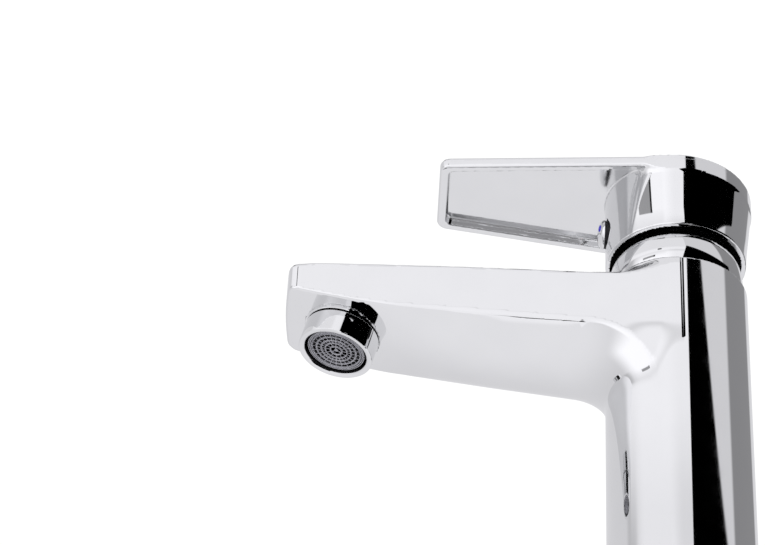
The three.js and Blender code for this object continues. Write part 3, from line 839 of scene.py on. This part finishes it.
class Finish:
    """A node material being built, with short calls for the nodes that the finishes share.

    A noise's scale is roughly how many of its spots fit in a metre.
    """

    def __init__(self, name, base, metallic, roughness):
        self.material = bpy.data.materials.new(name)
        self.material.use_nodes = True
        self.tree = self.material.node_tree
        self.shader = self.tree.nodes["Principled BSDF"]
        self.shader.inputs["Base Color"].default_value = (*base, 1)
        self.shader.inputs["Metallic"].default_value = metallic
        self.shader.inputs["Roughness"].default_value = roughness
        self.place = self.tree.nodes.new("ShaderNodeTexCoord").outputs["Object"]

    def noise(self, scale, detail, squeeze=(1, 1, 1)):
        mapping = self.tree.nodes.new("ShaderNodeMapping")
        mapping.inputs["Scale"].default_value = squeeze
        noise = self.tree.nodes.new("ShaderNodeTexNoise")
        noise.inputs["Scale"].default_value = scale
        noise.inputs["Detail"].default_value = detail
        self.tree.links.new(self.place, mapping.inputs["Vector"])
        self.tree.links.new(mapping.outputs["Vector"], noise.inputs["Vector"])
        return noise.outputs["Fac"]

    def gloss(self, value, smoothest, roughest):
        """Spreads the roughness between two values, as a noise varies."""
        ranged = self.tree.nodes.new("ShaderNodeMapRange")
        for socket, number in zip(RANGE_SOCKETS, (0.3, 0.7, smoothest, roughest)):
            ranged.inputs[socket].default_value = number
        self.tree.links.new(value, ranged.inputs["Value"])
        self.tree.links.new(ranged.outputs["Result"], self.shader.inputs["Roughness"])

    def tint(self, value, dark, light):
        """Mixes the base colour between two shades, as a noise varies."""
        shades = self.tree.nodes.new("ShaderNodeValToRGB")
        for element, position, shade in zip(shades.color_ramp.elements, (0.35, 0.65), (dark, light)):
            element.position = position
            element.color = (*shade, 1)
        self.tree.links.new(value, shades.inputs["Fac"])
        self.tree.links.new(shades.outputs["Color"], self.shader.inputs["Base Color"])

    def bump(self, value, depth_mm):
        bump = self.tree.nodes.new("ShaderNodeBump")
        bump.inputs["Strength"].default_value = 1.0
        bump.inputs["Distance"].default_value = depth_mm * MM
        self.tree.links.new(value, bump.inputs["Height"])
        self.tree.links.new(bump.outputs["Normal"], self.shader.inputs["Normal"])


def chrome_plate(name, roughness):
    """Mirror chrome, with faint smears in the gloss."""
    finish = Finish(name, (0.775, 0.778, 0.785), 1.0, roughness)
    finish.gloss(finish.noise(140, 5), roughness, roughness + 0.03)
    finish.tint(finish.noise(60, 3), (0.768, 0.771, 0.778), (0.782, 0.785, 0.791))
    return finish.material


def moulded_plastic(name, dark, light, roughness):
    finish = Finish(name, light, 0.0, roughness)
    finish.tint(finish.noise(350, 4), dark, light)
    finish.gloss(finish.noise(900, 3), roughness - 0.08, roughness + 0.08)
    finish.bump(finish.noise(4000, 2), 0.01)
    return finish.material


def moulded_rubber():
    finish = Finish("moulded_rubber", (0.02, 0.02, 0.021), 0.0, 0.8)
    finish.tint(finish.noise(700, 5), (0.013, 0.013, 0.014), (0.035, 0.035, 0.036))
    finish.gloss(finish.noise(1500, 3), 0.7, 0.92)
    finish.bump(finish.noise(3000, 4), 0.03)
    return finish.material


def machined_metal(name, dark, light, roughness, squeeze):
    """Metal with a fine grain, which runs in rings round the piece where it is squeezed along Z."""
    finish = Finish(name, light, 1.0, roughness)
    grain = finish.noise(900, 4, squeeze)
    finish.tint(grain, dark, light)
    finish.gloss(grain, roughness - 0.08, roughness + 0.1)
    finish.bump(grain, 0.012)
    return finish.material


def lapped_ceramic():
    finish = Finish("lapped_ceramic", (0.86, 0.84, 0.8), 0.0, 0.25)
    finish.tint(finish.noise(2500, 2), (0.8, 0.78, 0.73), (0.89, 0.87, 0.83))
    finish.gloss(finish.noise(500, 3), 0.15, 0.32)
    return finish.material


def enamel(name, dark, light):
    finish = Finish(name, light, 0.0, 0.25)
    finish.tint(finish.noise(1200, 2), dark, light)
    finish.gloss(finish.noise(800, 2), 0.2, 0.32)
    finish.shader.inputs["Specular IOR Level"].default_value = 0.2
    return finish.material


CHROME_CAST = chrome_plate("chrome_cast", 0.02)
RAW_BRASS = machined_metal("raw_cast_brass", (0.3, 0.21, 0.09), (0.46, 0.34, 0.16), 0.5, (1, 1, 1))
# The inside of the lever is unplated, and its near-black colour is painted shade.
UNLIT_CAVITY = moulded_plastic("unplated_shadow", (0.012, 0.012, 0.014), (0.02, 0.02, 0.022), 0.6)
# Near-black plastic: the real colour of the button's collar, and painted shade in the aerator's bore, the grille's
# grooves and slot walls and behind the slots.
DARK_PLASTIC_AND_SHADE = moulded_plastic("dark_acetal_and_painted_shade", (0.008, 0.008, 0.01), (0.014, 0.014, 0.016), 0.5)
CHROME_TURNED = chrome_plate("chrome_turned", 0.02)
CHROME_RECESS = chrome_plate("chrome_recess", 0.1)
WHITE_PLASTIC = moulded_plastic("white_acetal", (0.78, 0.77, 0.72), (0.86, 0.85, 0.81), 0.45)
GREY_PLASTIC = moulded_plastic("grey_acetal", (0.4, 0.4, 0.44), (0.5, 0.5, 0.54), 0.35)
# The grille's ridge crests are painted paler than the grey grille, as a painted highlight.
CREST_HIGHLIGHT_PLASTIC = moulded_plastic("crest_painted_highlight", (0.6, 0.6, 0.64), (0.7, 0.7, 0.74), 0.3)
RUBBER = moulded_rubber()
CERAMIC = lapped_ceramic()
STEEL = machined_metal("turned_steel", (0.5, 0.51, 0.52), (0.64, 0.65, 0.66), 0.3, (1, 1, 12))
BRASS = machined_metal("machined_brass", (0.6, 0.44, 0.19), (0.74, 0.57, 0.28), 0.28, (1, 1, 14))
ZINC = machined_metal("zinc_plated_steel", (0.55, 0.56, 0.58), (0.72, 0.73, 0.74), 0.34, (3, 3, 3))
BLUE = enamel("blue_enamel", (0.02, 0.01, 0.6), (0.03, 0.02, 0.85))
RED = enamel("red_enamel", (0.5, 0.01, 0.015), (0.72, 0.015, 0.02))


def finished(piece, material, body, slot, *nodes):
    """Gives a piece its material, the body it moves with and the nodes it stands for. Its slot is not used."""
    piece.data.materials.clear()
    piece.data.materials.append(material)
    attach(piece, body)
    if nodes:
        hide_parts(*nodes)


def painted(piece, material, chosen):
    """Gives one more material to the faces whose middles, in millimetres, are chosen."""
    faces = piece.data.polygons
    middles = np.empty(len(faces) * 3)
    faces.foreach_get("center", middles)
    piece.data.materials.append(material)
    here = chosen(*(middles.reshape(-1, 3) / MM).T)
    before = np.empty(len(faces), dtype=np.int32)
    faces.foreach_get("material_index", before)
    faces.foreach_set("material_index", np.where(here, len(piece.data.materials) - 1, before))


def repaint(names, material):
    """A CAD node whose shape is right keeps it, with a real material."""
    for name in names:
        node = frame["nodes"][name]
        for slot in node.material_slots:
            slot.material = material


def inside_casting(x, y, z):
    """The faces of the column's hollow, the ports and the cartridge chamber, which aren't plated."""
    radial = np.hypot(x, y)
    between = 99
    foot_lip, mouth_lip = 0.4, 0.5
    hollow = (radial < COLUMN_RADIUS - COLUMN_WALL + 0.3) & (z > foot_lip) & (z < between)
    chamber = (radial < MOUTH_RADIUS + 0.2) & (z > between) & (z < COLUMN_TOP - mouth_lip)
    return hollow | chamber


def inside_handle(x, y, z):
    """The faces of the cavity and the socket, above the skirt's plated lip, which are painted near-black as shade.
    """
    lip, margin = 0.5, 0.35
    inside = np.hypot(x, y) < SKIRT_INNER + margin
    return inside & (z > SKIRT_Z + lip) & (z < SOCKET_TOP + 1)


def recess_ceiling(x, y, z):
    """The recess's flat ceiling, which a polishing wheel can't reach as well as the outside."""
    flat = np.abs(above_plate(y, z) - RECESS_DEPTH) < 0.1
    return flat & (np.hypot(x, y) > SKIRT_RADIUS)


def grille_groove_shade(x, y, z):
    """The two grooves near the grille's rim, which are painted near-black as shade."""
    radial = outlet_frame(x, y, z)[0]
    return np.any([(radial > inner) & (radial < outer) for inner, outer in GRILLE_SHADE_GROOVES], axis=0)


# The grille's ridge crests, which are painted paler as a highlight.
def grille_crest_highlight(x, y, z):
    crest_half = 0.17
    radial = outlet_frame(x, y, z)[0]
    return np.min([np.abs(radial - ridge) for ridge in GRILLE_RIDGES], axis=0) < crest_half


def housing_bore(x, y, z):
    """The inside of the aerator's housing, above its chamfered mouth, which is painted near-black as shade."""
    margin, mouth = 0.25, 0.45
    radial, height = outlet_frame(x, y, z)
    return (radial < HOUSING_BORE + margin) & (height > mouth)


def button_collar(x, y, z):
    return y > -BUTTON_SHOULDER


def make_castings():
    body = skin("body_skin", body_field, body_low, body_high, step=0.8)
    finished(body, CHROME_CAST, "body", "chrome", "body_casting")
    painted(body, RAW_BRASS, inside_casting)
    handle = skin("handle_skin", handle_field, handle_low, handle_high, step=0.5)
    finished(handle, CHROME_CAST, "lever", "chrome", "handle")
    # The lever's cavity and socket are painted near-black as shade.
    painted(handle, UNLIT_CAVITY, inside_handle)
    painted(handle, CHROME_RECESS, recess_ceiling)


def make_fittings():
    housing = aerator_housing()
    finished(housing, CHROME_TURNED, "body", "chrome", "aerator_housing")
    # The housing's bore is painted near-black as shade.
    painted(housing, DARK_PLASTIC_AND_SHADE, housing_bore)
    grille = aerator_grille()
    finished(grille, GREY_PLASTIC, "body", "grey_plastic", "aerator_grille")
    # The grille's grooves are painted near-black as shade.
    painted(grille, DARK_PLASTIC_AND_SHADE, grille_groove_shade)
    painted(grille, CREST_HIGHLIGHT_PLASTIC, grille_crest_highlight)
    finished(outlet_boss(), CHROME_TURNED, "body", "chrome")
    finished(dome_skin(), CHROME_TURNED, "body", "chrome", "dome_cap")
    button = plug_button()
    finished(button, CHROME_TURNED, "lever", "chrome", "index_plug")
    painted(button, DARK_PLASTIC_AND_SHADE, button_collar)
    finished(colour_mark("blue_mark", 1), BLUE, "lever", "blue_mark", "blue_dot")
    finished(colour_mark("red_mark", -1), RED, "lever", "red_mark", "red_dot")


def make_fixing_set():
    finished(base_seal(), RUBBER, "body", "rubber", "base_gasket")
    finished(threaded_stud(), ZINC, "body", "zinc_plated_steel", "mounting_stud")
    washer = horseshoe("rubber_horseshoe", "rubber_washer", edge=0.6)
    finished(washer, RUBBER, "clamp_set", "rubber", "rubber_washer")
    plate = horseshoe("clamp_horseshoe", "clamp_plate", edge=0.45)
    finished(plate, ZINC, "clamp_set", "zinc_plated_steel", "clamp_plate")
    finished(hex_nut(), BRASS, "clamp_set", "brass", "mounting_nut")


def repaint_kept_nodes():
    repaint(["cartridge_base", "cartridge_housing", "disc_carrier", "swivel_collar"], WHITE_PLASTIC)
    # The insert is dark plastic, and its near-black also gives the painted shade seen through the grille's slots.
    repaint(["aerator_insert"], DARK_PLASTIC_AND_SHADE)
    repaint(["aerator_gasket", "inlet_seal_left", "inlet_seal_right", "outlet_seal"], RUBBER)
    repaint(["fixed_ceramic_disc", "moving_ceramic_disc"], CERAMIC)
    repaint(["spindle", "spindle_pin", "grub_screw"], STEEL)
    repaint(["cartridge_nut"], BRASS)


# ---------------------------------------------------------------- studio
def studio_world():
    """A pale tent with soft boxes and dark flags in the reflections, and plain white for the camera."""
    world = bpy.data.worlds.new("studio")
    bpy.context.scene.world = world
    world.use_nodes = True
    tree = world.node_tree
    tree.nodes.clear()
    output = tree.nodes.new("ShaderNodeOutputWorld")
    backdrop = tree.nodes.new("ShaderNodeBackground")
    backdrop.inputs["Color"].default_value = (1, 1, 1, 1)
    backdrop.inputs["Strength"].default_value = 1.05
    tent = tree.nodes.new("ShaderNodeBackground")
    tent.inputs["Color"].default_value = (0.975, 0.97, 1.0, 1)
    tree.links.new(tent_light(tree), tent.inputs["Strength"])
    mix = tree.nodes.new("ShaderNodeMixShader")
    path = tree.nodes.new("ShaderNodeLightPath")
    tree.links.new(path.outputs["Is Camera Ray"], mix.inputs["Fac"])
    tree.links.new(tent.outputs["Background"], mix.inputs[1])
    tree.links.new(backdrop.outputs["Background"], mix.inputs[2])
    tree.links.new(mix.outputs["Shader"], output.inputs["Surface"])


def studio_cards():
    """The soft boxes and flags, the later ones in front of the earlier.

    West and east are a card's lower and higher azimuth, from +X towards +Y, bottom and top are its
    elevations, and soft is the width of its edge, all in degrees. Light is its brightness. A card may
    lean with the outlet, so that its edges lie along the aerator.
    """
    Card = namedtuple("Card", "west east bottom top soft light lean", defaults=(0,))
    high_flag = Card(-150, -30, 56, 66, 2, 0.1)
    grey_panel = Card(-97, -78, 16, 35.5, 8, 0.58)
    upper_box = Card(-90, 12, 35.2, 62, 3.5, 1.08)
    upper_box_top = Card(-90, 12, 41, 62, 2, 0.96)
    side_box = Card(-22, 12, -70, 33, 6, 1.1)
    broad_box = Card(-75, -14, -24, 33, 24, 1.3)
    grey_bar = Card(-60, -41, 25.8, 29.2, 0.5, 0.4)
    black_bar = Card(-41.5, -38.8, 25.8, 29.2, 0.5, 0.02)
    small_flag = Card(-36, -29, 37.6, 40.4, 0.8, 0.1)
    back_flag = Card(80, 140, -25, 60, 6, 0.3)
    black_flag = Card(0.8, 93, -30, 46, 0.6, 0.0, OUTLET_TILT)
    black_flag_foot = Card(4.9, 93, -60, -28, 0.6, 0.0, OUTLET_TILT)
    window = Card(9.5, 20.5, -27, -15.5, 2, 1.0)
    boxes = [high_flag, grey_panel, upper_box, upper_box_top, side_box, broad_box]
    flags = [grey_bar, black_bar, small_flag, back_flag, black_flag, black_flag_foot]
    return boxes + flags + [window]


def operate(tree, operation, first, second=0.0):
    """A maths node on numbers or sockets."""
    node = tree.nodes.new("ShaderNodeMath")
    node.operation = operation
    for socket, value in zip(node.inputs, (first, second)):
        if isinstance(value, (int, float)):
            socket.default_value = value
        else:
            tree.links.new(value, socket)
    return node.outputs["Value"]


def eased(tree, value, start, end, low=0.0, high=1.0):
    """A value that goes smoothly from low to high as another goes from start to end."""
    node = tree.nodes.new("ShaderNodeMapRange")
    node.interpolation_type = "SMOOTHSTEP"
    for socket, number in zip(RANGE_SOCKETS, (start, end, low, high)):
        node.inputs[socket].default_value = number
    tree.links.new(value, node.inputs["Value"])
    return node.outputs["Result"]


def within(tree, value, low, high, soft):
    """One between two values and zero outside them, with soft ends."""
    above = eased(tree, value, low - soft / 2, low + soft / 2)
    below = eased(tree, value, high - soft / 2, high + soft / 2, 1.0, 0.0)
    return operate(tree, "MULTIPLY", above, below)


def heading(tree, lean):
    """The azimuth and elevation of a direction, in degrees, about an axis that leans towards +Y."""
    turn = tree.nodes.new("ShaderNodeVectorRotate")
    turn.rotation_type = "X_AXIS"
    turn.inputs["Angle"].default_value = lean
    tree.links.new(tree.nodes.new("ShaderNodeTexCoord").outputs["Generated"], turn.inputs["Vector"])
    parts = tree.nodes.new("ShaderNodeSeparateXYZ")
    tree.links.new(turn.outputs["Vector"], parts.inputs["Vector"])
    azimuth = operate(tree, "ARCTAN2", parts.outputs["Y"], parts.outputs["X"])
    elevation = operate(tree, "ARCSINE", parts.outputs["Z"])
    return operate(tree, "DEGREES", azimuth), operate(tree, "DEGREES", elevation)


def tent_light(tree):
    """The tent's brightness in each direction, as a socket."""
    headings = {lean: heading(tree, lean) for lean in (0, OUTLET_TILT)}
    low_light, high_light = 0.98, 0.78
    light = eased(tree, headings[0][1], -75, 20, low_light, high_light)
    for card in studio_cards():
        azimuth, elevation = headings[card.lean]
        across = within(tree, azimuth, card.west, card.east, card.soft)
        upward = within(tree, elevation, card.bottom, card.top, card.soft)
        inside = operate(tree, "MULTIPLY", across, upward)
        kept = operate(tree, "MULTIPLY", light, operate(tree, "SUBTRACT", 1.0, inside))
        light = operate(tree, "ADD", kept, operate(tree, "MULTIPLY", inside, card.light))
    return light


def floor():
    """A pale floor well below the object, because the camera looks up from under the deck's level."""
    reach, drop = 8.0, 0.95
    mesh = bpy.data.meshes.new("floor")
    plan = [(-1, -1), (1, -1), (1, 1), (-1, 1)]
    corners = [(x * reach, y * reach, -drop) for x, y in plan]
    mesh.from_pydata(corners, [], [(0, 1, 2, 3)])
    plane = link("floor", mesh)
    finish = Finish("pale_floor", (0.86, 0.86, 0.87), 0.0, 0.6)
    finish.tint(finish.noise(3, 2), (0.85, 0.85, 0.86), (0.88, 0.88, 0.885))
    plane.data.materials.append(finish.material)
    plane.visible_glossy = False


def camera():
    """The camera stands low on the +X side and looks up along the spout's flank."""
    focal, sensor = 144.3, 36
    place = Vector((0.82962, -0.09622, -0.53849))
    turn, rise, roll = math.radians(-0.402), math.radians(38.924), math.radians(2.927)
    ahead, sideways = -math.cos(turn) * math.cos(rise), math.sin(turn) * math.cos(rise)
    forward = Vector((ahead, sideways, math.sin(rise)))
    across = Vector((math.sin(turn), math.cos(turn), 0))
    upward = across.cross(forward)
    right = math.cos(roll) * across + math.sin(roll) * upward
    up = -math.sin(roll) * across + math.cos(roll) * upward
    data = bpy.data.cameras.new("camera")
    data.lens = focal
    data.sensor_width = sensor
    data.clip_end = 20
    shooter = bpy.data.objects.new("camera", data)
    bpy.context.scene.collection.objects.link(shooter)
    turned_to = Matrix((right, up, -forward)).transposed().to_4x4()
    shooter.matrix_world = Matrix.Translation(place) @ turned_to
    bpy.context.scene.camera = shooter


camera()
make_castings()
make_fittings()
make_fixing_set()
repaint_kept_nodes()
studio_world()
floor()
bpy.context.scene.view_settings.view_transform = "Standard"
